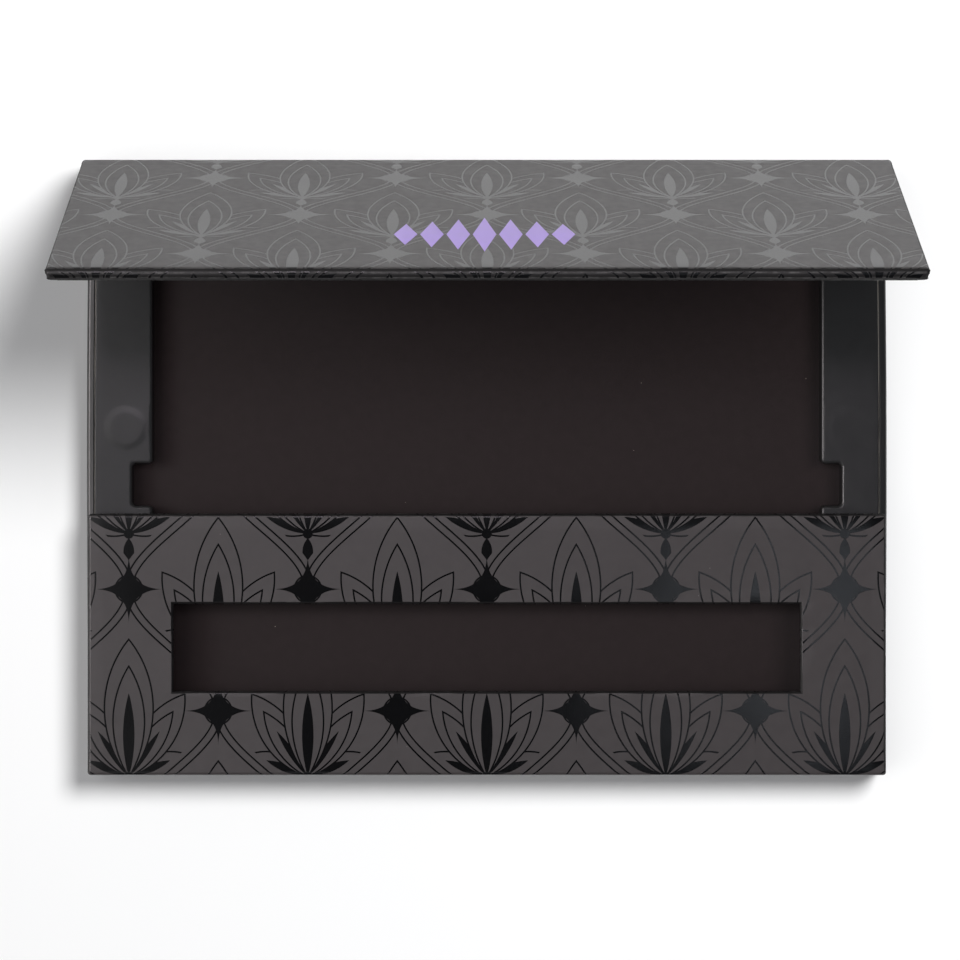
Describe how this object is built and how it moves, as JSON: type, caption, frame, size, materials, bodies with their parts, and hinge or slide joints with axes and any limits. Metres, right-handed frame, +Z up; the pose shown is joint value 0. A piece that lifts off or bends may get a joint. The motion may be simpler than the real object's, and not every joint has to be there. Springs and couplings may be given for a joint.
{
  "type": "magnetic makeup palette",
  "caption": "Slim paper-wrapped board palette: a shallow box with a magnetic floor for loose colour pans, a hinged back lid and a hinged front flap with a long window.",
  "frame": {"origin": "under the middle of the box, on the surface that it lies on", "axes": "+X across the palette's width, +Y from the front flap to the lid's hinge at the back, +Z up"},
  "size_m": [0.2264, 0.172, 0.1064],
  "materials": {
    "greyboard": "raw pressed fibre",
    "black_paper": "satin black",
    "printed_paper": "soft matt black with fine gloss lines",
    "magnetic_rubber": "matt, very dark brown",
    "magnet": "nickel plated"
  },
  "bodies": {
    "box": {"tray_board": "greyboard", "tray_wrap": "black_paper", "base_sheet": "black_paper", "magnetic_sheet": "magnetic_rubber", "rim_frame": "greyboard", "rim_wrap": "black_paper", "rim_magnet_lid_left": "magnet", "rim_magnet_lid_right": "magnet", "rim_magnet_panel_left": "magnet", "rim_magnet_panel_right": "magnet", "back_spine_board": "greyboard", "back_spine_wrap": "printed_paper", "back_hinge_lining": "black_paper", "front_spine_board": "greyboard", "front_spine_wrap": "printed_paper", "front_hinge_lining": "black_paper"},
    "lid": {"lid_board": "greyboard", "lid_wrap": "printed_paper", "lid_liner": "black_paper", "lid_magnet_left": "magnet", "lid_magnet_right": "magnet"},
    "front_panel": {"panel_board": "greyboard", "panel_wrap": "printed_paper", "panel_liner": "black_paper", "panel_magnet_left": "magnet", "panel_magnet_right": "magnet"}
  },
  "joints": [
    {"name": "lid_hinge", "type": "hinge", "parent": "box", "child": "lid", "pos_m": [0, 0.08588, 0.01493], "axis": [-1, 0, 0], "range_deg": [-68.8, 111.2]},
    {"name": "front_panel_hinge", "type": "hinge", "parent": "box", "child": "front_panel", "pos_m": [0, -0.08588, 0.01493], "axis": [1, 0, 0], "range_deg": [0, 180]}
  ]
}
